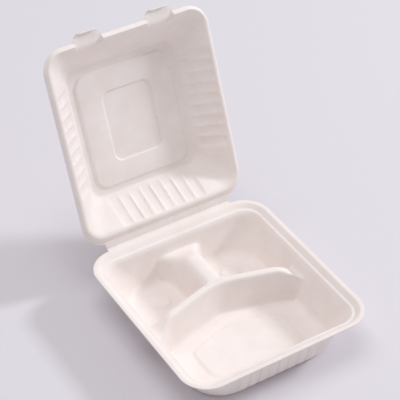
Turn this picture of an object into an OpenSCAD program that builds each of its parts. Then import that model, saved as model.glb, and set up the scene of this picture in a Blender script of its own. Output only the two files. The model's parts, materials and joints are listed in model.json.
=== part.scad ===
// Takeaway food box pressed from plant fibre: a base with three compartments and a
// lid, moulded together and joined by a fold along the rear edge. The box stands on
// its base, X runs across, +Y points to the fold and Z is up. The origin is the
// middle of the base's underside. The lid is drawn open, leaning back.

/* [Base] */
// Width of the base over its rim
base_width = 203; // [197:0.5:212]
// Depth of the base over its rim
base_depth = 215; // [209:0.5:224]
// Height of the base from the surface to the top of its rim
base_height = 46; // [42:0.5:50]
// Radius of the rim's corners
rim_radius = 29; // [27:0.5:32]
// Thickness of the moulded fibre in the base
wall = 1.2; // [1:0.1:1.4]

/* [Rim of the base] */
// Width of the flat flange on top of the rim
flange_width = 4; // [3.5:0.1:4.5]
// Width of the slope that leads the lid in
lip_width = 5; // [4.5:0.1:5.5]
// Drop from the flange to the ledge
lip_drop = 4; // [3.5:0.1:4.4]
// Width of the ledge inside the slope
ledge_width = 2.5; // [2.2:0.1:2.8]

/* [Compartments] */
// How far the floor's edge lies inside the rim on every side
floor_inset = 30; // [28:0.5:31]
// How much nearer to the rim the floor comes at the front and rear
floor_reach = 5; // [3:0.5:5.5]
// Radius of the floor's corners
floor_radius = 33; // [30:0.5:34]
// Height of the dividers above the surface
divider_height = 39; // [34:0.5:39.5]
// How far the dividers dip where they meet the walls
divider_dip = 12; // [6:0.5:13]
// Width of the rounded top of a divider
divider_top = 6; // [5:0.2:7]
// Width of a divider where it meets the floor
divider_foot = 17; // [15:0.5:19]
// Place of the cross divider ahead of the middle
divider_place = 20; // [16:1:24]
// Fall of the cross divider toward the sides, per millimetre of width
divider_sweep = 0.3; // [0.24:0.02:0.34]
// Rise of the panel in the front compartment's floor
panel_rise = 1.5; // [1:0.1:2]
// Diameter of the round boss in each rear compartment
boss_diameter = 20; // [14:1:24]
// Distance of each boss from the middle of the box
boss_place = 41.5; // [38:0.5:44]
// Distance of the bosses behind the middle of the box
boss_back = 57; // [52:1:60]
// Height of the round bosses over the floor
boss_rise = 2.4; // [1.6:0.2:3]

/* [Ribs] */
// Number of ribs in the front wall of the base
front_ribs = 8; // [6:1:8]
// Distance between the ribs of the base
front_rib_pitch = 11; // [9:0.5:11]
// Depth of the ribs
rib_depth = 1.6; // [0.8:0.1:2]

/* [Lid] */
// Width of the lid over its flange
lid_width = 185.5; // [182:0.5:186]
// Thickness of the moulded fibre in the lid
lid_wall = 1; // [0.9:0.05:1.1]
// Depth of the lid's hollow inside
lid_depth = 30; // [26:0.5:33]
// Height of the ridge that plugs into the base
ridge_height = 5; // [4:0.1:5.2]
// Number of ribs in the lid's rear wall
lid_rear_ribs = 8; // [6:1:8]
// Distance between the ribs of the lid's rear wall
lid_rear_pitch = 12.25; // [9:0.25:12.25]
// Number of ribs in each side wall of the lid
lid_side_ribs = 9; // [6:1:9]
// Distance between the ribs of the lid's side walls
lid_side_pitch = 11.8; // [9:0.2:11.8]
// Angle of the lid from closed
lid_angle = 112.4; // [90:0.2:120]

/* [Lock tabs] */
// Distance of each tab's middle from the middle of the lid
tab_place = 40; // [38:0.5:44]
// Width of a tab
tab_width = 29.5; // [27:0.5:33]
// How far a tab's lip turns down past the rim
tab_lip = 3; // [2:0.1:3.5]

/* [Fold] */
// Distance from the rear edge of the base to the fold
fold_reach = 3.5; // [3:0.1:4.5]
// Length of the fold
fold_length = 144; // [136:1:145]
// Radius of the bead along the fold
fold_bead = 1; // [0.9:0.05:1.2]

/* [Hidden] */
fibre = "#f4efe8";
fold_gap = 0.05;
clear = 0.3;
half_w = base_width / 2;
half_d = base_depth / 2;
fold_y = half_d + fold_reach;
arc_steps = [0, 15, 30, 45];
arcs = len(arc_steps);
sheet_slope = 0.42;
floor_top = wall;

// Half the sides, corner radius and height of each level of the base, from the
// flange's edge down to the floor's edge. extra grows a level outward.
ledge_in = flange_width + lip_width + ledge_width;
rim_z = base_height;
ledge_z = base_height - lip_drop;
base_levels = [
    [0, rim_radius, rim_z],
    [flange_width, rim_radius - flange_width, rim_z],
    [flange_width + lip_width, rim_radius - flange_width - lip_width, ledge_z],
    [ledge_in, rim_radius - ledge_in, ledge_z],
    [ledge_in + 2.2, rim_radius - ledge_in + 1.5, ledge_z - 4],
    [floor_inset - 7, floor_radius, floor_top + 8],
    [floor_inset - 3.5, floor_radius + 1, floor_top + 2.2],
    [floor_inset, floor_radius, floor_top]
];
level_count = len(base_levels);
last = level_count - 1;

// Offset of a level for the underside: flat parts go down, walls go outward.
base_shift = [
    [0, -wall], [-wall * 0.55, -wall], [-wall * 0.6, -wall], [-wall, -wall],
    [-wall, 0], [-wall * 0.95, -0.3], [-wall * 0.6, -wall * 0.8], [-0.2, -wall]
];

function fit(s, c, full) = c > full + 0.5 ? s : s * (c - 0.5) / full;
function smooth(t) = let (c = max(0, min(1, t))) c * c * (3 - 2 * c);
function mix(a, b, t) = a + (b - a) * t;

// Stations along the front: fixed across the ribs, then round the corner.
rib_steps = 3;
front_half = front_ribs * rib_steps / 2;
front_step = front_rib_pitch / rib_steps;
col_count = 2 * front_half + 1 + 2 * arcs;
function col_arc(i) = i < arcs ? arcs - 1 - i : i >= col_count - arcs ? i - (col_count - arcs) : -1;
function col_side(i) = i < arcs ? -1 : 1;
function col_x(i) = (i - (col_count - 1) / 2) * front_step;
function front_wave(i) = col_arc(i) >= 0 ? 0
    : let (k = i - arcs, p = k % rib_steps) (p == 0 ? 0 : 1);

// Stations along the sides, with the rows that follow the cross divider.
half_top = divider_top / 2;
half_foot = divider_foot / 2;
function cross_y(x) = divider_place + divider_sweep * (12 - sqrt(x * x + 144));
side_rows = [
    [-36, 0.2, 0], [-22, 0.7, 0], [divider_place - 28, 1, 0], [divider_place - 26, 1, 0],
    [divider_place - half_foot, 1, 1], [divider_place - half_top, 1, 1],
    [divider_place - half_top / 2, 1, 0.6], [divider_place + half_top / 2, 1, -0.6],
    [divider_place + half_top, 1, -1], [divider_place + half_foot, 1, -1],
    [divider_place + 23, 0.3, 0]
];
row_count = len(side_rows) + 2 * arcs;
function row_arc(j) = j < arcs ? arcs - 1 - j : j >= row_count - arcs ? j - (row_count - arcs) : -1;
function row_side(j) = j < arcs ? -1 : 1;
function row_y(j, x, under) = let (r = side_rows[j - arcs])
    r[0] + r[1] * (cross_y(x) - divider_place) + r[2] * under;

// Half the width, half the depth, corner radius and height of one level.
function reach(k) = floor_reach * (k > 5 ? 1 : k == 5 ? 0.8 : 0);
function level(k, under) = let (l = base_levels[k], s = base_shift[k] * (under > 0 ? 1 : 0))
    [half_w - l[0] - s[0], half_d - l[0] - s[0] + reach(k), l[1] - s[0], l[2] + s[1]];

// A point of a level's loop, on the front or rear and on the left or right.
function rib_amount(k) = k == 4 ? 0.6 : k == 5 ? 1 : k == 6 ? 0.5 : 0;
function along_x(k, i, end, under) = let (l = level(k, under), a = col_arc(i), r = l[2])
    a >= 0
    ? [col_side(i) * (l[0] - r + r * sin(arc_steps[a])), end * (l[1] - r + r * cos(arc_steps[a]))]
    : [fit(col_x(i), l[0] - r, front_half * front_step),
        end * l[1] - (end < 0 ? -1 : 0) * rib_amount(k) * rib_depth * front_wave(i)];
function along_y(k, j, end, under) = let (l = level(k, under), a = row_arc(j), r = l[2])
    a >= 0
    ? [end * (l[0] - r + r * cos(arc_steps[a])), row_side(j) * (l[1] - r + r * sin(arc_steps[a]))]
    : [end * l[0], row_y(j, l[0], under)];

// Height of the dividers over a point, or below the floor away from them.
function crest_fall(d) = d <= half_top / 2 ? 0
    : d <= half_top ? -0.9 * (d - half_top / 2) / (half_top / 2)
    : -0.9 - (d - half_top) * (divider_height - floor_top - 0.9) / (half_foot - half_top);
function end_dip(t) = divider_dip * smooth((t - 59) / 26);
function cross_z(p, u) = divider_height - u - end_dip(abs(p[0]))
    + crest_fall(abs(p[1] - cross_y(p[0])) + u);
function rear_z(p, u) = p[1] < cross_y(p[0]) ? -1
    : divider_height - u - end_dip(p[1] - 5) + crest_fall(abs(p[0]) + u);
function sheet_z(p, z, u) = max(z, cross_z(p, u), rear_z(p, u));

// Columns inside the floor: the front ones carry on from the ribs, and the rear
// ones close up on the rear divider.
panel_half = 52;
rear_cols = [0, half_top / 2, half_top, half_foot, 13, 17.5, 22, 26.5, 31, 35, 39, 43, 47];
inner_cols = [panel_half, panel_half + 2, 59];
function rear_x(i, u) = let (k = i - (col_count - 1) / 2, n = min(abs(k), 12), s = sign(k))
    s * (rear_cols[n] - (n > 0 && n < 4 ? u * [0, 0.6, 1, 1][n] : 0));
row_blend = concat([for (j = [0 : arcs + 3]) 0], [0.1, 0.3, 0.45, 0.6, 0.8, 1],
    [for (j = [0 : arcs]) 1]);
function inner_x(i, j, u) = col_arc(i) >= 0 ? col_side(i) * inner_cols[col_arc(i)]
    : mix(col_x(i), rear_x(i, u), row_blend[j]);
front_rows = [-52, -(half_d - 43.5), -(half_d - 41.5)];
rear_rows = [half_d - 53, half_d - 47, half_d - 41];
function inner_y(i, j, x, u) = row_arc(j) < 0 ? row_y(j, x, u)
    : row_side(j) < 0 ? front_rows[row_arc(j)] : rear_rows[row_arc(j)];
function on_panel(i, j) = i >= arcs - 1 && i <= col_count - arcs
    && j >= arcs - 2 && j <= arcs + 2;
function floor_point(i, j, u) = let (x = inner_x(i, j, u), y = inner_y(i, j, x, u))
    [x, y, sheet_z([x, y], (on_panel(i, j) ? panel_rise : 0) + floor_top - u, u)];

// The loop of stations round one level, then the whole sheet.
loop = 2 * (col_count + row_count - 2);
function ring_xy(k, s, u) =
    s < col_count ? along_x(k, s, -1, u)
    : s < col_count + row_count - 1 ? along_y(k, s - col_count + 1, 1, u)
    : s < 2 * col_count + row_count - 2 ? along_x(k, 2 * col_count + row_count - 3 - s, 1, u)
    : along_y(k, loop - s, -1, u);
function ring_point(k, s, u) = let (p = ring_xy(k, s, u), z = level(k, u)[3])
    [p[0], p[1], k < 3 ? z : sheet_z(p, z, u)];
function skin(u) = concat(
    [for (k = [0 : last], s = [0 : loop - 1]) ring_point(k, s, u)],
    [for (j = [1 : row_count - 2], i = [1 : col_count - 2]) floor_point(i, j, u)]);
skin_size = level_count * loop + (row_count - 2) * (col_count - 2);
function station(i, j) = j == 0 ? i
    : i == col_count - 1 ? col_count - 1 + j
    : j == row_count - 1 ? 2 * col_count + row_count - 3 - i
    : (loop - j) % loop;
function inside(i, j) = i > 0 && j > 0 && i < col_count - 1 && j < row_count - 1;
function spot(i, j) = inside(i, j) ? level_count * loop + (j - 1) * (col_count - 2) + i - 1
    : last * loop + station(i, j);
function quad(a, b, c, d, flip) = flip ? [[a, c, b], [a, d, c]] : [[a, b, c], [a, c, d]];
function bands(n, m, base, flip) = [for (k = [0 : m - 2], s = [0 : n - 1])
    each quad(base + k * n + s, base + k * n + (s + 1) % n,
        base + (k + 1) * n + (s + 1) % n, base + (k + 1) * n + s, flip)];
function floor_faces(base, flip) = [for (j = [0 : row_count - 2], i = [0 : col_count - 2])
    each quad(base + spot(i, j), base + spot(i + 1, j),
        base + spot(i + 1, j + 1), base + spot(i, j + 1), flip)];
function rim_faces(n, base) = [for (s = [0 : n - 1])
    each quad(s, (s + 1) % n, base + (s + 1) % n, base + s, false)];

module base_sheet() {
    polyhedron(
        points = concat(skin(0), skin(wall)),
        faces = concat(
            bands(loop, level_count, 0, true), floor_faces(0, true),
            bands(loop, level_count, skin_size, false), floor_faces(skin_size, false),
            rim_faces(loop, skin_size)),
        convexity = 12);
}

module boss(side) {
    translate([side * boss_place, boss_back, floor_top - 0.4])
        cylinder(h = boss_rise + 0.4, r1 = boss_diameter / 2, r2 = boss_diameter / 2 - 1.2, $fn = 48);
}

module fold_strip() {
    translate([-fold_length / 2, half_d - 1, base_height - wall])
        cube([fold_length, fold_reach + 1, wall]);
    translate([0, fold_y, base_height])
        rotate([0, 90, 0])
            cylinder(h = fold_length, r = fold_bead, center = true, $fn = 32);
}

module base() {
    color(fibre) {
        base_sheet();
        boss(-1);
        boss(1);
        fold_strip();
    }
}

// The lid is drawn lying flat behind the fold: y runs away from the fold, z is up on
// its inner side. Each level has half the width, the rear and front ends, a corner
// radius and a height.
lid_half = lid_width / 2;
front_end = fold_reach + base_depth;
seat = 2;
crest = seat + ridge_height;
top_z = -lid_depth;
foot_in = 31.75;
lid_levels = [
    [lid_half, 5.5, front_end - 7.2, 23, seat],
    [lid_half - 1.25, 13.4, front_end - 10, 21, seat],
    [lid_half - 6.25, 18.4, front_end - 15, 17, crest],
    [lid_half - 9.25, 21.4, front_end - 18, 15, crest],
    [lid_half - 10.5, 22.6, front_end - 19.2, 15, crest - 3],
    [lid_half - 12.8, 24.6, front_end - 21.4, 15, seat - 3],
    [lid_half - 28, 39.6, front_end - 36.4, 13, top_z + 6],
    [lid_half - foot_in, 43.5, front_end - 40.4, 12, top_z],
    [lid_half - foot_in - 7, 50, front_end - 47, 13, top_z],
    [lid_half - foot_in - 8.5, 51.5, front_end - 48.5, 13, top_z + 1.5],
    [28.5, 73, 148, 9, top_z + 1.5],
    [27, 74.5, 146.5, 8, top_z]
];
lid_count = len(lid_levels);
// Offset of a level for the lid's outer side, in thicknesses of the lid.
lid_shift = [
    [0, -1], [0.4, -1], [-0.4, -1], [-1.2, -0.75], [-1, -0.35], [-1, -0.4],
    [-1, -0.5], [-0.5, -1], [0, -1], [0, -1], [0, -1], [0, -1]
];
corner_steps = [0, 15, 30, 45, 60, 75, 90];
rear_n = lid_rear_ribs * rib_steps;
side_n = lid_side_ribs * rib_steps;
rear_st = [for (i = [0 : rear_n]) [(i - rear_n / 2) * lid_rear_pitch / rib_steps, i % rib_steps == 0 ? 0 : 1]];
side_st = [for (i = [0 : side_n]) [(i - side_n / 2) * lid_side_pitch / rib_steps, i % rib_steps == 0 ? 0 : 1]];
half_tab = tab_width / 2;
// Place along the front, and how much of the tab's form it has: none, at its side,
// out to the rim, and with its lip turned down.
tab_st = [[-half_tab - 0.9, 0], [-half_tab, 1], [-half_tab + 0.8, 2], [-half_tab + 3, 3],
    [-half_tab / 3, 3], [half_tab / 3, 3], [half_tab - 3, 3], [half_tab - 0.8, 2],
    [half_tab, 1], [half_tab + 0.9, 0]];
front_st = concat([for (s = tab_st) [s[0] - tab_place, s[1]]], [[-8, 0], [8, 0]],
    [for (s = tab_st) [s[0] + tab_place, s[1]]]);

tab_z = -clear - 0.1;
tab_out = front_end + 0.9;
// Rear corners: the flange rises over the base's rim toward the fold.
rear_lift = [seat, 1.3, 0.6, -0.2, -clear, -clear, -clear];
function rear_height(k, step) = k > 1 ? lid_levels[k][4] : rear_lift[step];
function tab_form(k, kind) =
    k == 0 ? [[0, 0], [front_end - 7.2, tab_z], [tab_out - 0.2, tab_z], [tab_out + 1, tab_lip]][kind]
    : k == 1 ? [[0, 0], [front_end - 8, tab_z], [tab_out - 1.1, tab_z], [tab_out, tab_z]][kind]
    : [front_end - [0, 0, 13.5, 18.6, 20, 21.9][k], tab_z - [0, 0, 0, 0, 0.6, 2.4][k]];

function lid_ring(k, u) = let (
    l = lid_levels[k], sh = lid_shift[k] * (u ? lid_wall : 0),
    a = l[0] - sh[0], y0 = l[1] + sh[0], y1 = l[2] - sh[0], r = l[3] - sh[0] / 2,
    z = l[4] + sh[1], mid = (y0 + y1) / 2, cx = a - r, cy = (y1 - y0) / 2 - r,
    amp = (k == 5 || k == 6 ? 1 : k == 4 ? 0.4 : 0) * rib_depth,
    dz = sh[1])
    concat(
        [for (s = rear_st) [fit(s[0], cx, rear_n / 2 * lid_rear_pitch / rib_steps),
            y0 - amp * s[1], rear_height(k, 6) + dz]],
        [for (i = [0 : 6]) let (t = corner_steps[i])
            [cx + r * sin(t), y0 + r - r * cos(t), rear_height(k, 6 - i) + dz]],
        [for (s = side_st) [a + amp * s[1],
            mid + fit(s[0], cy, side_n / 2 * lid_side_pitch / rib_steps), z]],
        [for (t = corner_steps) [cx + r * cos(t), y1 - r + r * sin(t), z]],
        [for (i = [len(front_st) - 1 : -1 : 0]) let (s = front_st[i], f = s[1] > 0 && k < 6)
            f ? let (q = tab_form(k, s[1]), w = u ? lid_wall : 0)
                    [s[0], q[0] + (k < 2 ? w : 0), q[1] - (k == 0 && s[1] == 3 ? 0 : w)]
            : [fit(s[0], cx, front_st[len(front_st) - 1][0]), y1, z]],
        [for (i = [6 : -1 : 0]) let (t = corner_steps[i])
            [-cx - r * cos(t), y1 - r + r * sin(t), z]],
        [for (i = [side_n : -1 : 0]) let (s = side_st[i]) [-a - amp * s[1],
            mid + fit(s[0], cy, side_n / 2 * lid_side_pitch / rib_steps), z]],
        [for (i = [6 : -1 : 0]) let (t = corner_steps[i])
            [-cx - r * sin(t), y0 + r - r * cos(t), rear_height(k, 6 - i) + dz]]);
lid_loop = len(rear_st) + 2 * len(side_st) + len(front_st) + 4 * len(corner_steps);
function lid_middle(u) = let (l = lid_levels[lid_count - 1])
    [0, (l[1] + l[2]) / 2, l[4] - (u ? lid_wall : 0)];
function lid_skin(u) = concat([for (k = [0 : lid_count - 1]) each lid_ring(k, u)], [lid_middle(u)]);
function fan(n, first, middle, flip) = [for (s = [0 : n - 1])
    flip ? [first + s, middle, first + (s + 1) % n] : [first + s, first + (s + 1) % n, middle]];

module lid_sheet() {
    n = lid_loop;
    size = lid_count * n + 1;
    inner = (lid_count - 1) * n;
    polyhedron(
        points = concat(lid_skin(false), lid_skin(true)),
        faces = concat(
            bands(n, lid_count, 0, true), fan(n, inner, size - 1, true),
            bands(n, lid_count, size, false), fan(n, size + inner, 2 * size - 1, false),
            rim_faces(n, size)),
        convexity = 12);
}

module lid() {
    color(fibre)
        translate([0, fold_y, base_height])
            rotate([180 - lid_angle, 0, 0]) {
                lid_sheet();
                difference() {
                    translate([-fold_length / 2, 0.2, -clear - lid_wall])
                        cube([fold_length, 6.5, lid_wall]);
                    rotate([0, 90, 0])
                        cylinder(h = fold_length + 2, r = fold_bead + fold_gap, center = true, $fn = 32);
                }
            }
}

base();
lid();
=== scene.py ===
"""Hinged takeaway box of moulded plant fibre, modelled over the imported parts.

The box is one pressed sheet: a base with three compartments, a lid with ribbed walls and
two lock tabs, and the pressed fold that joins them. Each half starts as a flat mesh grid.
Its rim is extruded level by level up the wall and over the rim, and the sheet then gets
its thickness. Sizes are in millimetres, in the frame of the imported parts.
"""

from __future__ import annotations

import json
import logging
import math
from dataclasses import dataclass
from enum import Enum
from typing import Callable, Sequence

import bmesh
import bpy
from mathutils import Matrix, Vector


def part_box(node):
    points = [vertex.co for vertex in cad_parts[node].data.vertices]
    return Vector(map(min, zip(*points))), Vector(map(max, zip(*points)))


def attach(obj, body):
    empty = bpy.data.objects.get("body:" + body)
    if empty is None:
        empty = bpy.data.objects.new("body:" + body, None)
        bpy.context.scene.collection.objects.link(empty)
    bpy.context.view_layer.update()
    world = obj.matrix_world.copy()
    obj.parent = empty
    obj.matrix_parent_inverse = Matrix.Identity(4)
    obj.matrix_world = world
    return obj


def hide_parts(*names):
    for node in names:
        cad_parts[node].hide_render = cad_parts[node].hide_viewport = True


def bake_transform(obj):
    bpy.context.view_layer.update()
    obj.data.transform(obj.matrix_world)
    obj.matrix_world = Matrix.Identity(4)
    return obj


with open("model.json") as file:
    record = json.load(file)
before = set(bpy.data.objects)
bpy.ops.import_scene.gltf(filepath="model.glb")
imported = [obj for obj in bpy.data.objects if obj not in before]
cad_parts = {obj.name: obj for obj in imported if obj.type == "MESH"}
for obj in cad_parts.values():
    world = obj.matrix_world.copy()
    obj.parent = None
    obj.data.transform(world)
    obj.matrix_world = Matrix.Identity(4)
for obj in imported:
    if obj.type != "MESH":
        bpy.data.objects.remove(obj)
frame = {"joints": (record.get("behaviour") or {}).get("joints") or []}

LOG = logging.getLogger("takeaway_box")
MM = 0.001


class Side(Enum):
    """The four sides of an outline, in the order that its stations run."""

    FRONT = 0
    RIGHT = 1
    REAR = 2
    LEFT = 3


def clamp(value: float, low: float = 0.0, high: float = 1.0) -> float:
    """Returns value kept between low and high."""
    return max(low, min(high, value))


def ease(value: float) -> float:
    """Returns a smooth step from 0 to 1 as value goes from 0 to 1."""
    t = clamp(value)
    return t * t * (3.0 - 2.0 * t)


def mix(a: float, b: float, share: float) -> float:
    """Returns the value that lies share of the way from a to b."""
    return a + (b - a) * share


def soft_max(a: float, b: float, reach: float) -> float:
    """Returns the larger value, with a fillet where the two come within reach."""
    h = max(reach - abs(a - b), 0.0) / reach
    return max(a, b) + h * h * reach * 0.25


def soft_min(a: float, b: float, reach: float) -> float:
    """Returns the smaller value, with a fillet where the two come within reach."""
    return -soft_max(-a, -b, reach)


def filleted(corners: Sequence[tuple[Vector, float]], step: float) -> list[Vector]:
    """Samples a path whose corners are rounded.

    Args:
        corners: each corner of the path with the length that its fillet takes off.
        step: the distance between samples on straight stretches.

    Returns:
        The sampled points from the first corner to the last.
    """
    points = [corners[0][0]]
    for before, (corner, cut), after in zip(corners, corners[1:-1], corners[2:]):
        start = corner + (before[0] - corner).normalized() * cut
        end = corner + (after[0] - corner).normalized() * cut
        points += straight(points[-1], start, step)
        count = 0 if cut == 0 else 2 if cut < 0.8 else 3
        for index in range(1, count + 1):
            t = index / count
            points.append(start * (1 - t) ** 2 + corner * 2 * t * (1 - t) + end * t * t)
    points += straight(points[-1], corners[-1][0], step)
    return points


def straight(start: Vector, end: Vector, step: float) -> list[Vector]:
    """Returns points from start to end, without start, at most step apart."""
    length = (end - start).length
    if length < 1e-6:
        return []
    count = max(1, math.ceil(length / step))
    return [start.lerp(end, index / count) for index in range(1, count + 1)]


def spaced(spans: Sequence[tuple[float, float]]) -> list[float]:
    """Lists stations from 0 outward.

    Args:
        spans: the end of each span, and the distance between stations in it.

    Returns:
        The stations, 0 included.
    """
    stations = [0.0]
    for end, step in spans:
        start = stations[-1]
        count = max(1, round((end - start) / step))
        stations += [start + (end - start) * (index + 1) / count for index in range(count)]
    return stations


def mirrored(half: Sequence[float]) -> list[float]:
    """Returns stations on both sides of 0, from those on one side."""
    return [-value for value in reversed(half[1:])] + list(half)


@dataclass(frozen=True)
class Outline:
    """A rounded rectangle: half its width, its two ends along Y and a corner radius."""

    half: float
    near: float
    far: float
    radius: float

    @property
    def middle(self) -> float:
        """The middle between the two ends."""
        return (self.near + self.far) / 2

    @property
    def reach_x(self) -> float:
        """Half the straight stretch of the near and far sides."""
        return self.half - self.radius

    @property
    def reach_y(self) -> float:
        """Half the straight stretch of the left and right sides."""
        return (self.far - self.near) / 2 - self.radius

    def at(self, across: float, along: float, side: Side) -> tuple[float, float]:
        """Finds a point on the outline.

        Args:
            across: place across, in mm up to reach_x, then reach_x plus 0 to 1 in a corner.
            along: the same along Y, measured from the middle.
            side: the side that the point is on.

        Returns:
            Its X and Y.
        """
        sx = math.copysign(1.0, across)
        sy = math.copysign(1.0, along)
        turn_x = max(0.0, abs(across) - self.reach_x)
        turn_y = max(0.0, abs(along) - self.reach_y)
        if side in (Side.FRONT, Side.REAR):
            angle = math.radians(45.0) * turn_x
            x = sx * (min(abs(across), self.reach_x) + self.radius * math.sin(angle))
            y = sy * (self.reach_y + self.radius * math.cos(angle))
        else:
            angle = math.radians(45.0) * turn_y
            x = sx * (self.reach_x + self.radius * math.cos(angle))
            y = sy * (min(abs(along), self.reach_y) + self.radius * math.sin(angle))
        return x, y + self.middle

    def fill(self, across: Station, along: Station, x: float, y: float) -> tuple[float, float]:
        """Finds a point of the grid within the outline.

        Args:
            across: the point's column.
            along: its row.
            x: the column's place, if it is on a straight stretch.
            y: the same for its row, measured from the middle.

        Returns:
            Its X and Y.
        """
        turn = max(across.turn, along.turn) * self.radius
        if across.turn > 0 and along.turn > 0:
            flat = across.turn >= along.turn
            share = (along.turn / across.turn) if flat else (across.turn / along.turn)
            angle = math.radians(45.0 * share if flat else 90.0 - 45.0 * share)
            x = across.sign * (self.reach_x + turn * math.cos(angle))
            y = along.sign * (self.reach_y + turn * math.sin(angle))
        elif across.turn > 0:
            x = across.sign * (self.reach_x + turn)
        elif along.turn > 0:
            y = along.sign * (self.reach_y + turn)
        return x, y + self.middle


@dataclass(frozen=True)
class Station:
    """A column or row of the grid: its place in mm, and its share of the corner's turn."""

    place: float
    turn: float

    @property
    def sign(self) -> float:
        """The side of the middle that it is on."""
        return math.copysign(1.0, self.place)

    def on(self, reach: float, fixed: float, full: float, hold: float = 1.0) -> float:
        """Places the station on a straight stretch, or in the corner after it.

        Args:
            reach: half the straight stretch.
            fixed: the length from the middle where stations keep their place.
            full: the place of the last straight station.
            hold: 1 keeps them there, 0 spreads all of them in proportion.

        Returns:
            The place, with the corner's turn of 0 to 1 added past reach.
        """
        if self.turn > 0:
            return self.sign * (reach + self.turn)
        size = abs(self.place)
        spread = size * reach / full
        kept = size if size <= fixed else fixed + (size - fixed) * (reach - fixed) / (full - fixed)
        return self.sign * mix(spread, kept, hold)


def stations(places: Sequence[float], turns: int) -> list[Station]:
    """Returns the stations at the given places, with turns more in the corner at each end."""
    corner = [(index + 1) / turns for index in range(turns)]
    before = [Station(places[0], turn) for turn in reversed(corner)]
    after = [Station(places[-1], turn) for turn in corner]
    return before + [Station(place, 0.0) for place in places] + after


def rib_wave(place: float, count: int, pitch: float) -> float:
    """Returns the form of a row of ribs: 1 on a rib, 0 in the sharp valley beside it."""
    span = count * pitch / 2
    if abs(place) > span:
        return 0.0
    phase = (place + span) / pitch
    return 1.0 - abs(2.0 * (phase - math.floor(phase)) - 1.0) ** 4


Place = Callable[[int, int], Vector]
RingPlace = Callable[[int, int, int, Side], Vector]


@dataclass
class Sheet:
    """A pressed sheet: a grid in the middle, and rings extruded from its border."""

    columns: int
    rows: int
    thickness: float

    def grid(self, mesh: bmesh.types.BMesh, place: Place) -> list[list[bmesh.types.BMVert]]:
        """Makes the middle grid and puts its vertices in place.

        Args:
            mesh: the mesh to build in.
            place: gives the point for a column and a row.

        Returns:
            The vertices by column and row.
        """
        bmesh.ops.create_grid(mesh, x_segments=self.columns, y_segments=self.rows, size=0.5)
        table: list[list[bmesh.types.BMVert]] = [
            [None] * (self.rows + 1) for _ in range(self.columns + 1)
        ]
        for vert in list(mesh.verts):
            column = round((vert.co.x + 0.5) * self.columns)
            row = round((vert.co.y + 0.5) * self.rows)
            table[column][row] = vert
        for column, line in enumerate(table):
            for row, vert in enumerate(line):
                vert.co = place(column, row)
        return table

    def border(self) -> list[tuple[int, int, Side]]:
        """Returns column, row and side of each station round the border, in order."""
        last_column, last_row = self.columns, self.rows
        around = [(column, 0, Side.FRONT) for column in range(last_column)]
        around += [(last_column, row, Side.RIGHT) for row in range(last_row)]
        around += [(column, last_row, Side.REAR) for column in range(last_column, 0, -1)]
        around += [(0, row, Side.LEFT) for row in range(last_row, 0, -1)]
        return around

    def rings(
        self,
        mesh: bmesh.types.BMesh,
        table: list[list[bmesh.types.BMVert]],
        count: int,
        place: RingPlace,
    ) -> None:
        """Extrudes the border outward, ring by ring.

        Args:
            mesh: the mesh to build in.
            table: the grid's vertices.
            count: how many rings.
            place: gives the point for a ring, column, row and side.
        """
        around = self.border()
        loop = [table[column][row] for column, row, _ in around]
        for ring in range(count):
            edges = [
                mesh.edges.get((loop[index], loop[(index + 1) % len(loop)]))
                for index in range(len(loop))
            ]
            made = bmesh.ops.extrude_edge_only(mesh, edges=edges)
            fresh = {vert for vert in made["geom"] if isinstance(vert, bmesh.types.BMVert)}
            outer = []
            for index, vert in enumerate(loop):
                new = next(e.other_vert(vert) for e in vert.link_edges if e.other_vert(vert) in fresh)
                new.co = place(ring, *around[index])
                outer.append(new)
            loop = outer

    def finish(self, mesh: bmesh.types.BMesh, name: str, turn: Matrix) -> bpy.types.Object:
        """Makes an object of the mesh, with the sheet's thickness and a rounded edge.

        Args:
            mesh: the finished upper skin, in mm.
            name: the object's name.
            turn: moves the skin from where it was drawn to where it lies, in mm.

        Returns:
            The object, linked to the scene.
        """
        bmesh.ops.recalc_face_normals(mesh, faces=mesh.faces)
        mesh.normal_update()
        if sum(face.normal.z * face.calc_area() for face in mesh.faces) < 0:
            bmesh.ops.reverse_faces(mesh, faces=mesh.faces)
        bmesh.ops.transform(mesh, matrix=Matrix.Scale(MM, 4) @ turn, verts=mesh.verts)
        data = bpy.data.meshes.new(name)
        mesh.to_mesh(data)
        mesh.free()
        data.shade_smooth()
        piece = bpy.data.objects.new(name, data)
        bpy.context.scene.collection.objects.link(piece)
        body = piece.modifiers.new("thickness", "SOLIDIFY")
        body.thickness = self.thickness * MM
        body.offset = -1.0
        body.use_quality_normals = True
        edge = piece.modifiers.new("pressed edge", "BEVEL")
        edge.width = self.thickness * 0.3 * MM
        edge.segments = 2
        edge.limit_method = "ANGLE"
        edge.angle_limit = math.radians(60.0)
        return piece


@dataclass(frozen=True)
class Divider:
    """A divider's section, and how its crest ends at a wall.

    Attributes:
        crown: half the width of its crest.
        foot: half its width at the floor.
        drop: how far the crest falls from its middle to its side.
        start: the place along it where it starts to fall and widen.
        flare: how much it widens.
        lead: how far out of the crest's side the flank starts.
        shoulder: the fillet between crest and flank.
    """

    crown: float
    foot: float
    drop: float
    start: float
    flare: float
    lead: float = 0.6
    shoulder: float = 3.0

    def height(self, off: float, run: float, top: float, dip: float, length: float) -> float:
        """Finds the height of its surface.

        Args:
            off: the distance from the divider's line.
            run: the place along it.
            top: the height of its crest.
            dip: how far the crest falls towards the wall.
            length: the length over which it falls, and the divider widens.

        Returns:
            The height, or one far below the floor beside the divider.
        """
        end = max(0.0, (run - self.start) / length)
        away = max(0.0, off - self.flare * end * end)
        flank = max(0.0, away - self.crown) * top / (self.foot - self.crown)
        crown = self.drop * (away / self.crown) ** 2
        return top - dip * ease(end) - soft_max(flank - self.lead, crown, self.shoulder)


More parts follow.
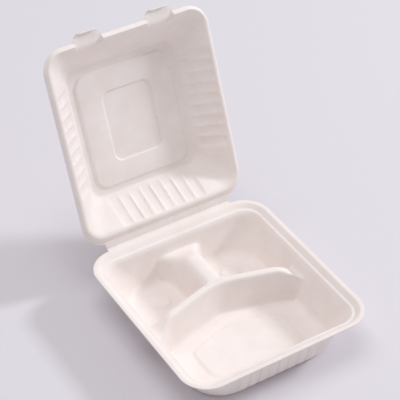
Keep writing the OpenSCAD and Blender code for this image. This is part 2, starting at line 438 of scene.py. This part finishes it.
@dataclass
class BaseHalf:
    """The base: a rim that takes the lid, sloping walls and two dividers."""

    half_width: float
    half_depth: float
    rim_height: float
    thickness: float = 1.1
    rim_radius: float = 29.0
    flange: float = 4.0
    lip_width: float = 5.0
    lip_drop: float = 4.0
    ledge: float = 2.5
    floor_inset: float = 30.0
    floor_radius: float = 33.0
    floor_reach: float = 5.0
    divider_top: float = 39.0
    divider_place: float = 20.0
    divider_sweep: float = 0.3
    divider_dip: float = 11.0
    dip_length: float = 25.0
    cross: Divider = Divider(3.6, 9.0, 1.2, 60.0, 9.0)
    rear: Divider = Divider(9.5, 17.0, 4.0, 63.0, 12.0)
    junction: float = 11.0
    crest_cap: float = 0.4
    crest_round: float = 2.0
    divider_root: float = 5.0
    sweep_round: float = 12.0
    panel_half: float = 52.0
    panel_front: float = 64.0
    panel_gap: float = 27.0
    panel_rise: float = 1.8
    panel_step: float = 2.0
    panel_corners: tuple[float, float] = (14.0, 8.0)
    boss_place: tuple[float, float] = (41.5, 57.0)
    boss_radius: float = 10.0
    boss_rise: float = 2.4
    boss_step: float = 2.2
    ribs: int = 8
    rib_pitch: float = 11.0
    rib_depth: float = 2.0
    rib_ends: float = 2.0
    rib_fades: tuple[float, float] = (5.0, 6.0)
    fixed: float = 34.0
    turns: int = 18

    @property
    def full(self) -> float:
        """The place of the last station before the corner."""
        return self.fixed + 12.0

    def cross_line(self, x: float) -> float:
        """Returns the place of the cross divider's crest at x."""
        bend = self.sweep_round - math.hypot(x, self.sweep_round)
        return self.divider_place + self.divider_sweep * bend

    def section(self) -> list[Vector]:
        """Returns the rim and wall from the floor's edge outward: inset, radius, height."""
        top, low = self.rim_height, self.rim_height - self.lip_drop
        inner = self.flange + self.lip_width
        ledge = inner + self.ledge
        floor = self.thickness
        r = self.rim_radius
        path = [
            (Vector((self.floor_inset, self.floor_radius, floor)), 0.0),
            (Vector((self.floor_inset - 4.5, self.floor_radius + 1.0, floor + 1.6)), 3.4),
            (Vector((ledge + 2.2, r - ledge + 1.5, low - 3.6)), 2.2),
            (Vector((ledge, r - ledge, low)), 1.3),
            (Vector((inner, r - inner, low)), 1.2),
            (Vector((self.flange, r - self.flange, top)), 1.6),
            (Vector((0.0, r, top)), 0.0),
        ]
        return filleted(path, 1.5)

    def outline(self, level: Vector) -> Outline:
        """Returns the outline of one level of the section."""
        wall_top = self.rim_height - self.lip_drop - 3.6
        reach = self.floor_reach * clamp((wall_top - level.z) / (wall_top - 4.0))
        depth = self.half_depth - level.x + reach
        return Outline(self.half_width - level.x, -depth, depth, level.y)

    def height(self, x: float, y: float, ground: float) -> float:
        """Returns the sheet's height at a point, where ground is the floor or wall there."""
        line = self.cross_line(x)
        form = (self.divider_top, self.divider_dip, self.dip_length)
        crest = self.cross.height(abs(y - line), abs(x), *form)
        if y > line:
            rear = self.rear.height(abs(x), y, *form)
            crest = soft_max(crest, rear, self.junction)
            crest = soft_min(crest, self.divider_top + self.crest_cap, self.crest_round)
        return soft_max(ground, crest, self.divider_root)

    def floor_rise(self, x: float, y: float) -> float:
        """Returns the height of the panel or of a boss over the floor at a point."""
        rear_edge = self.cross_line(x) - self.panel_gap - y
        front_corner, rear_corner = self.panel_corners
        inside = soft_min(self.panel_half - abs(x), y + self.panel_front, front_corner)
        inside = soft_min(inside, rear_edge, rear_corner)
        panel = self.panel_rise * ease(inside / self.panel_step + 0.5)
        off = math.hypot(abs(x) - self.boss_place[0], y - self.boss_place[1])
        boss = self.boss_rise * ease((self.boss_radius - off) / self.boss_step + 0.5)
        return panel + boss

    def rib(self, x: float, height: float) -> float:
        """Returns how far the front wall is pressed outward at a place."""
        low, high = self.thickness + self.rib_ends, self.rim_height - self.lip_drop - self.rib_ends
        rise, fall = self.rib_fades
        share = ease((height - low) / rise) * ease((high - height) / fall)
        return self.rib_depth * rib_wave(x, self.ribs, self.rib_pitch) * share

    def columns(self) -> list[Station]:
        """Returns the grid's columns, closer together over the rear divider."""
        half = spaced([(8.0, 1.0), (18.0, 0.8), (self.fixed, 1.25), (self.full, 1.6)])
        return stations(mirrored(half), self.turns)

    def rows(self) -> list[Station]:
        """Returns the grid's rows, closer together over the cross divider."""
        start = -self.full
        path = [start, -self.fixed, -12.0, 11.0, 17.0, 23.0, 29.0, self.fixed, self.full]
        steps = [1.6, 1.3, 1.3, 0.7, 0.9, 0.7, 1.2, 1.3]
        values = [start]
        for low, high, step in zip(path, path[1:], steps):
            count = max(1, round((high - low) / step))
            values += [low + (high - low) * (index + 1) / count for index in range(count)]
        return stations(values, self.turns)

    def follow(self, y: float, x: float) -> float:
        """Moves a row with the cross divider where it runs close by."""
        hold = clamp((y + self.full) / 34.0) * clamp((self.full - y) / 16.0)
        line = self.cross_line(min(abs(x), self.half_width - self.floor_inset))
        return y + hold * (line - self.divider_place)

    def build(self, name: str) -> bpy.types.Object:
        """Builds the base.

        Args:
            name: the object's name.

        Returns:
            The base's object.
        """
        columns, rows = self.columns(), self.rows()
        full = self.full
        levels = self.section()
        edge = self.outline(levels[0])

        def place(column: int, row: int) -> Vector:
            across, along = columns[column], rows[row]
            x = across.on(edge.reach_x, self.fixed, full)
            y = along.on(edge.reach_y, self.fixed, full)
            x, y = edge.fill(across, along, x, y)
            if along.turn == 0:
                y = self.follow(y, x)
            return Vector((x, y, self.height(x, y, self.thickness + self.floor_rise(x, y))))

        def ring(index: int, column: int, row: int, side: Side) -> Vector:
            level = levels[index + 1]
            shape = self.outline(level)
            across = columns[column].on(shape.reach_x, self.fixed, full)
            along = rows[row].on(shape.reach_y, self.fixed, full)
            x, y = shape.at(across, along, side)
            if side in (Side.LEFT, Side.RIGHT) and rows[row].turn == 0:
                y = self.follow(y, x)
            if side is Side.FRONT and columns[column].turn == 0:
                y -= self.rib(x, level.z)
            below_rim = level.x > self.flange + self.lip_width + 0.1
            return Vector((x, y, self.height(x, y, level.z) if below_rim else level.z))

        sheet = Sheet(len(columns) - 1, len(rows) - 1, self.thickness)
        mesh = bmesh.new()
        table = sheet.grid(mesh, place)
        sheet.rings(mesh, table, len(levels) - 1, ring)
        return sheet.finish(mesh, name, Matrix.Identity(4))


@dataclass
class LidHalf:
    """The lid, drawn lying flat behind the fold with its inner side up."""

    half_width: float
    front: float
    rear: float = 5.5
    thickness: float = 1.0
    bead: float = 3.5
    depth: float = 30.0
    rear_ribs: int = 8
    rear_pitch: float = 12.25
    side_ribs: int = 9
    side_pitch: float = 11.8
    rib_depth: float = 2.3
    rib_foot: float = 1.0
    rib_fades: tuple[float, float] = (7.0, 4.0)
    clear: float = 0.3
    tab_place: float = 40.0
    tab_half: float = 14.75
    tab_lip: float = 3.0
    tab_side: float = 0.9
    tab_inner: float = 16.0
    tab_round: float = 3.2
    tab_air: float = 0.6
    tab_bulge: float = 0.3
    lip_start: float = 0.3
    lip_run: float = 3.0
    panel: Outline = Outline(54.0, 50.0, 171.5, 13.0)
    window: Outline = Outline(28.5, 73.0, 148.0, 9.0)
    panel_rise: float = 2.0
    fixed: float = 60.0
    row_step: float = 1.95
    turns: int = 9

    def section(self) -> list[tuple[Outline, float]]:
        """Returns outline and height of each level from the window's edge outward."""
        low = -self.depth
        path = []
        for shape, step, height, cut in (
            (self.window, 1.5, low, 0.0),
            (self.window, 0.0, low + self.panel_rise, 0.5),
            (self.panel, 1.6, low + self.panel_rise, 0.6),
            (self.panel, 0.0, low, 0.7),
        ):
            ends = (shape.near + step, shape.far - step)
            path.append((Vector((shape.half - step, *ends, shape.radius - step / 2, height)), cut))
        # From the panel out over the rim: insets at side, rear and front, radius, height, fillet.
        for side, rear, front, radius, height, cut in (
            (31.75, 43.5, 40.4, 12.0, low, 2.2),
            (7.0, 17.2, 11.3, 16.5, self.bead - 1.1, 0.9),
            (5.2, 15.0, 9.9, 17.8, self.bead, 0.8),
            (3.0, 12.8, 9.4, 19.5, self.bead, 1.0),
            (0.9, 10.0, 7.7, 21.6, 1.5, 0.9),
            (0.2, 7.8, 6.7, 22.6, -0.5, 0.4),
            (0.0, self.rear, 6.5, 23.0, -1.0, 0.0),
        ):
            ends = (rear, self.front - front)
            path.append((Vector((self.half_width - side, *ends, radius, height)), cut))
        levels = filleted(path, 2.3)
        bends = zip(levels[:-2], levels[1:-1], levels[2:])
        kept = [level for before, level, after in bends if not before[4] == level[4] == after[4]]
        return [(Outline(*level[:4]), level[4]) for level in [levels[0], *kept, levels[-1]]]

    def rib(self, place: float, count: int, pitch: float, height: float) -> float:
        """Returns how far a ribbed wall is pressed outward at a place along it."""
        rise, fall = self.rib_fades
        share = ease((height + self.depth - self.rib_foot) / rise) * ease((self.bead - height) / fall)
        return self.rib_depth * rib_wave(place, count, pitch) * share

    def tab_share(self, x: float) -> float:
        """Returns 1 within a lock tab, 0 beside it and a steep step at its sides."""
        off = abs(abs(x) - self.tab_place)
        return ease((self.tab_half - off) / self.tab_side + 0.5)

    def tab_point(self, x: float, y: float) -> tuple[float, float]:
        """Returns the place and height that a point of the front ridge has in a tab.

        Args:
            x: its place across.
            y: its place where there is no tab.

        Returns:
            Y and height in the tab.
        """
        floor = -self.clear - 0.1
        inner, edge = self.front - self.tab_inner, self.front - 6.5
        inside = self.tab_half - self.tab_round - abs(abs(x) - self.tab_place)
        bow = math.sqrt(max(0.0, 1.0 - (max(0.0, -inside) / self.tab_round) ** 2))
        out = mix(edge, self.front + self.tab_air, bow)
        lip = self.tab_lip * ease((inside - self.lip_start) / self.lip_run)
        along = clamp((y - inner) / (edge - inner)) * (out - inner + lip)
        flat = min(inner + along, out)
        over = max(0.0, inner + along - out)
        fillet = 2.4 * (1.0 - clamp((flat - inner) / 4.3)) ** 2
        return flat + self.tab_bulge * min(over, 1.0), floor + over - fillet

    def build(self, name: str, turn: Matrix) -> bpy.types.Object:
        """Builds the lid.

        Args:
            name: the object's name.
            turn: the matrix that puts the flat lid where it leans, in mm.

        Returns:
            The lid's object.
        """
        side_a = self.tab_place - self.tab_half
        side_b = self.tab_place + self.tab_half
        step = self.tab_side
        spans = [
            (side_a - step, 1.6), (side_a + step, 0.3), (side_a + 6.0, 0.64), (side_b - 6.0, 1.7),
            (side_b - step, 0.64), (side_b + step, 0.3), (self.fixed, 0.9), (self.fixed + 10, 2.0),
        ]
        columns = stations(mirrored(spaced(spans)), self.turns)
        rows = stations(mirrored(spaced([(self.fixed + 20, self.row_step)])), self.turns)
        full_x, full_y = self.fixed + 10, self.fixed + 20
        levels = self.section()
        edge = levels[0][0]

        def place(column: int, row: int) -> Vector:
            across, along = columns[column], rows[row]
            x = across.on(edge.reach_x, self.fixed, full_x, 0.0)
            y = along.on(edge.reach_y, self.fixed, full_y, 0.0)
            x, y = edge.fill(across, along, x, y)
            return Vector((x, y, levels[0][1]))

        def ring(index: int, column: int, row: int, side: Side) -> Vector:
            shape, height = levels[index + 1]
            hold = ease((height + 12.0) / 8.0)
            across = columns[column].on(shape.reach_x, self.fixed, full_x, hold)
            along = rows[row].on(shape.reach_y, self.fixed, full_y, 0.0)
            x, y = shape.at(across, along, side)
            wall = self.panel.half + 3.0 < shape.half < self.half_width - 6.0
            if wall and side in (Side.LEFT, Side.RIGHT) and rows[row].turn == 0:
                out = self.rib(y - shape.middle, self.side_ribs, self.side_pitch, height)
                x += math.copysign(out, x)
            if wall and side is Side.FRONT and columns[column].turn == 0:
                y -= self.rib(x, self.rear_ribs, self.rear_pitch, height)
            if side is Side.REAR and y > self.front - self.tab_inner:
                share = self.tab_share(x)
                tab_y, tab_height = self.tab_point(x, y)
                y, height = mix(y, tab_y, share), mix(height, tab_height, share)
            if shape.half > self.half_width - 2.0 and side is not Side.REAR:
                height = max(height, mix(-self.clear - 0.05, -1.0, ease((y - 8.0) / 14.0)))
            return Vector((x, y, height))

        sheet = Sheet(len(columns) - 1, len(rows) - 1, self.thickness)
        mesh = bmesh.new()
        table = sheet.grid(mesh, place)
        sheet.rings(mesh, table, len(levels) - 1, ring)
        return sheet.finish(mesh, name, turn)


@dataclass
class FoldStrip:
    """The sheet between the two halves, pressed thin along one line so that it folds."""

    fold_y: float
    fold_z: float
    lean: float
    half_length: float = 72.0
    base_reach: float = 8.5
    lid_reach: float = 7.9
    thickness: float = 1.0
    proud: float = 0.15
    bend_radius: float = 2.2
    groove: float = 0.35
    groove_width: float = 0.9
    base_sink: tuple[float, float] = (1.2, 2.0)
    lid_sink: tuple[float, float] = (0.9, 1.0)
    flare: float = 2.5

    def build(self, name: str) -> bpy.types.Object:
        """Builds the strip, bent as the box lies open.

        Args:
            name: the object's name.

        Returns:
            The strip's object.
        """
        segments_x, segments_y = 90, 44
        total = self.base_reach + self.lid_reach
        mesh = bmesh.new()
        bmesh.ops.create_grid(mesh, x_segments=segments_x, y_segments=segments_y, size=0.5)
        for vert in mesh.verts:
            run = (vert.co.y + 0.5) * total - self.base_reach
            spread = self.flare * (abs(run) / self.lid_reach) ** 2
            x = vert.co.x * 2 * (self.half_length + spread)
            y, z = self.bent(run)
            vert.co = Vector((x, self.fold_y + y, self.fold_z + z))
        sheet = Sheet(segments_x, segments_y, self.thickness)
        return sheet.finish(mesh, name, Matrix.Identity(4))

    def bent(self, run: float) -> tuple[float, float]:
        """Returns Y and Z of a point, run mm past the fold along the sheet."""
        angle = math.radians(self.lean)
        arc = self.bend_radius * angle / 2
        depth, length = self.base_sink
        sunk = depth * ease((length - run - self.base_reach) / length)
        depth, length = self.lid_sink
        sunk += depth * ease((length + run - self.lid_reach) / length)
        press = self.groove * math.exp(-((run / self.groove_width) ** 2)) + sunk - self.proud
        if run < -arc:
            turn, y, z = 0.0, run, 0.0
        elif run > arc:
            turn, y, z = angle, run * math.cos(angle), run * math.sin(angle)
        else:
            turn = (run + arc) / self.bend_radius
            y = -arc + self.bend_radius * math.sin(turn)
            z = self.bend_radius * (1 - math.cos(turn))
        return y + press * math.sin(turn), z - press * math.cos(turn)


def linear(hex_code: str) -> tuple[float, float, float, float]:
    """Turns an sRGB hex colour to the linear colour that a shader takes."""
    values = [int(hex_code[index:index + 2], 16) / 255 for index in (1, 3, 5)]
    turned = [v / 12.92 if v <= 0.04045 else ((v + 0.055) / 1.055) ** 2.4 for v in values]
    return (turned[0], turned[1], turned[2], 1.0)


def add_node(
    tree: bpy.types.NodeTree, kind: str, links: dict | None = None, **settings: str
) -> bpy.types.Node:
    """Adds a node.

    Args:
        tree: the node tree.
        kind: the node's type.
        links: for an input, the output that feeds it, or the value that it is set to.
        settings: the node's own settings.

    Returns:
        The node.
    """
    node = tree.nodes.new(kind)
    for key, value in settings.items():
        setattr(node, key, value)
    for key, value in (links or {}).items():
        if isinstance(value, bpy.types.NodeSocket):
            tree.links.new(value, node.inputs[key])
        else:
            node.inputs[key].default_value = value
    return node


@dataclass(frozen=True)
class MouldedFibre:
    """Sugar-cane pulp pressed between heated moulds: a matt, warm white, felted surface."""

    pale: str = "#F8F1EF"
    warm: str = "#F4EBE7"
    fleck: str = "#DCCFBF"
    roughness: float = 0.82
    cloud_mm: float = 22.0
    pulp_mm: float = 1.6
    grain_mm: float = 0.45
    fibre_mm: float = 2.4

    def material(self, name: str) -> bpy.types.Material:
        """Makes the material.

        Args:
            name: the material's name.

        Returns:
            The material.
        """
        made = bpy.data.materials.new(name)
        made.use_nodes = True
        tree = made.node_tree
        tree.nodes.clear()
        place = add_node(tree, "ShaderNodeTexCoord").outputs["Object"]
        cloud = self.noise(tree, place, self.cloud_mm, Detail=3.0, Roughness=0.5)
        pulp = self.noise(tree, place, self.pulp_mm, Detail=4.0, Roughness=0.6)
        grain = self.noise(tree, place, self.grain_mm, Detail=2.0, Roughness=0.5)
        fibre = self.noise(tree, place, self.fibre_mm, Detail=2.0, Distortion=2.5)
        strands = add_node(
            tree, "ShaderNodeMapRange",
            {"Value": fibre, "From Min": 0.66, "From Max": 0.74, "To Max": 0.5},
        )
        tone = self.blended(tree, cloud, self.pale, self.warm)
        flecked = self.over(tree, strands.outputs["Result"], tone, self.fleck)
        height = add_node(tree, "ShaderNodeMath", {0: pulp, 1: grain}, operation="ADD")
        bump = add_node(
            tree, "ShaderNodeBump",
            {"Height": height.outputs["Value"], "Strength": 0.35, "Distance": 0.12 * MM},
        )
        shader = add_node(
            tree, "ShaderNodeBsdfPrincipled",
            {
                "Base Color": flecked, "Roughness": self.roughness, "IOR": 1.45,
                "Specular IOR Level": 0.25, "Normal": bump.outputs["Normal"],
            },
        )
        add_node(tree, "ShaderNodeOutputMaterial", {"Surface": shader.outputs["BSDF"]})
        return made

    def noise(
        self, tree: bpy.types.NodeTree, place: bpy.types.NodeSocket, size_mm: float, **values: float
    ) -> bpy.types.NodeSocket:
        """Returns a noise over the surface, with its size in mm and its other inputs' values."""
        inputs = {"Vector": place, "Scale": 1 / (size_mm * MM), **values}
        return add_node(tree, "ShaderNodeTexNoise", inputs).outputs["Fac"]

    def blended(
        self, tree: bpy.types.NodeTree, share: bpy.types.NodeSocket, low: str, high: str
    ) -> bpy.types.NodeSocket:
        """Returns a colour that runs from low to high with share."""
        ramp = add_node(tree, "ShaderNodeValToRGB", {"Fac": share})
        ramp.color_ramp.elements[0].position = 0.3
        ramp.color_ramp.elements[0].color = linear(low)
        ramp.color_ramp.elements[1].position = 0.7
        ramp.color_ramp.elements[1].color = linear(high)
        return ramp.outputs["Color"]

    def over(
        self,
        tree: bpy.types.NodeTree,
        share: bpy.types.NodeSocket,
        under: bpy.types.NodeSocket,
        top: str,
    ) -> bpy.types.NodeSocket:
        """Returns under with the colour top laid over it by share."""
        mixed = tree.nodes.new("ShaderNodeMix")
        mixed.data_type = "RGBA"
        tree.links.new(share, mixed.inputs["Factor"])
        colours = [socket for socket in mixed.inputs if socket.type == "RGBA"]
        tree.links.new(under, colours[0])
        colours[1].default_value = linear(top)
        return next(socket for socket in mixed.outputs if socket.type == "RGBA")


@dataclass(frozen=True)
class Lamp:
    """A square lamp: its bearing from the box, distance and size in metres, power, colour."""

    name: str
    bearing: tuple[float, float, float]
    distance: float
    size: float
    power: float
    tone: str


@dataclass
class Studio:
    """A pale floor, soft lights and the camera."""

    floor_tone: str = "#E3E0E7"
    floor_half: float = 6.0
    target: tuple[float, float, float] = (0.0, 0.05, 0.06)
    world_tone: str = "#FFFCFB"
    world_strength: float = 0.5
    lamps: tuple[Lamp, ...] = (
        Lamp("key", (1.42, -0.28, 1.0), 4.0, 0.55, 65.0, "#F8FBFF"),
        Lamp("overhead", (-0.05, 0.05, 1.0), 4.0, 2.0, 35.0, "#FFFDFF"),
        Lamp("back", (-0.27, 0.37, 1.0), 4.0, 0.8, 9.0, "#FFFFFF"),
    )
    camera_place: tuple[float, float, float] = (-0.5814, -0.8891, 1.0445)
    camera_turn: tuple[float, float, float] = (50.146, 0.0, -31.768)
    lens: float = 134.0

    def floor(self) -> bpy.types.Object:
        """Makes the floor that the box stands on."""
        mesh = bmesh.new()
        bmesh.ops.create_grid(mesh, x_segments=2, y_segments=2, size=self.floor_half)
        data = bpy.data.meshes.new("floor")
        mesh.to_mesh(data)
        mesh.free()
        floor = bpy.data.objects.new("floor", data)
        bpy.context.scene.collection.objects.link(floor)
        paper = bpy.data.materials.new("backdrop paper")
        paper.use_nodes = True
        shader = paper.node_tree.nodes["Principled BSDF"]
        shader.inputs["Base Color"].default_value = linear(self.floor_tone)
        shader.inputs["Roughness"].default_value = 0.95
        shader.inputs["Specular IOR Level"].default_value = 0.0
        data.materials.append(paper)
        return floor

    def light(self) -> None:
        """Lights the box: a key from the right, a wide lamp overhead, one behind, a pale world."""
        world = bpy.data.worlds.new("studio")
        bpy.context.scene.world = world
        world.use_nodes = True
        sky = world.node_tree.nodes["Background"]
        sky.inputs["Color"].default_value = linear(self.world_tone)
        sky.inputs["Strength"].default_value = self.world_strength
        for lamp in self.lamps:
            self.hang(lamp)

    def hang(self, lamp: Lamp) -> None:
        """Hangs a lamp that points at the box."""
        data = bpy.data.lights.new(lamp.name, "AREA")
        data.size = lamp.size
        data.energy = lamp.power
        data.color = linear(lamp.tone)[:3]
        place = Vector(lamp.bearing).normalized() * lamp.distance
        hung = bpy.data.objects.new(lamp.name, data)
        hung.location = place
        hung.rotation_euler = (Vector(self.target) - place).to_track_quat("-Z", "Y").to_euler()
        bpy.context.scene.collection.objects.link(hung)

    def camera(self) -> None:
        """Places the camera where the photograph was taken from."""
        data = bpy.data.cameras.new("camera")
        data.lens = self.lens
        data.sensor_width = 36.0
        camera = bpy.data.objects.new("camera", data)
        camera.location = self.camera_place
        camera.rotation_euler = [math.radians(angle) for angle in self.camera_turn]
        bpy.context.scene.collection.objects.link(camera)
        bpy.context.scene.camera = camera


def place_piece(piece: bpy.types.Object, material: bpy.types.Material) -> None:
    """Gives a piece its material, and reports it."""
    piece.data.materials.append(material)
    LOG.info("%s: %d faces", piece.name, len(piece.data.polygons))


def main() -> None:
    """Builds the box and the studio."""
    logging.basicConfig(level=logging.INFO, format="%(message)s")
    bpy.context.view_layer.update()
    scene = bpy.context.scene
    scene.view_settings.view_transform = "Standard"

    joint = frame["joints"][0]
    fold_y, fold_z = joint["pos_m"][1] / MM, joint["pos_m"][2] / MM
    lean = -joint["range_deg"][0]
    base_low, base_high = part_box("base")
    _, lid_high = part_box("lid")
    fibre = MouldedFibre().material("moulded_fibre")

    base = BaseHalf(base_high[0] / MM, -base_low[1] / MM, fold_z).build("base_sheet")
    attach(base, "base")
    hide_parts("base")
    place_piece(base, fibre)

    flat_to_open = Matrix.Translation((0, fold_y, fold_z)) @ Matrix.Rotation(math.radians(lean), 4, "X")
    front = fold_y - base_low[1] / MM
    lid = LidHalf(lid_high[0] / MM, front).build("lid_sheet", flat_to_open)
    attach(lid, "lid")
    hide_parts("lid")
    place_piece(lid, fibre)

    strip = FoldStrip(fold_y, fold_z, lean).build("fold_strip")
    place_piece(strip, fibre)
    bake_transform(strip)

    studio = Studio()
    studio.floor()
    studio.light()
    studio.camera()


if __name__ == "__main__":
    main()
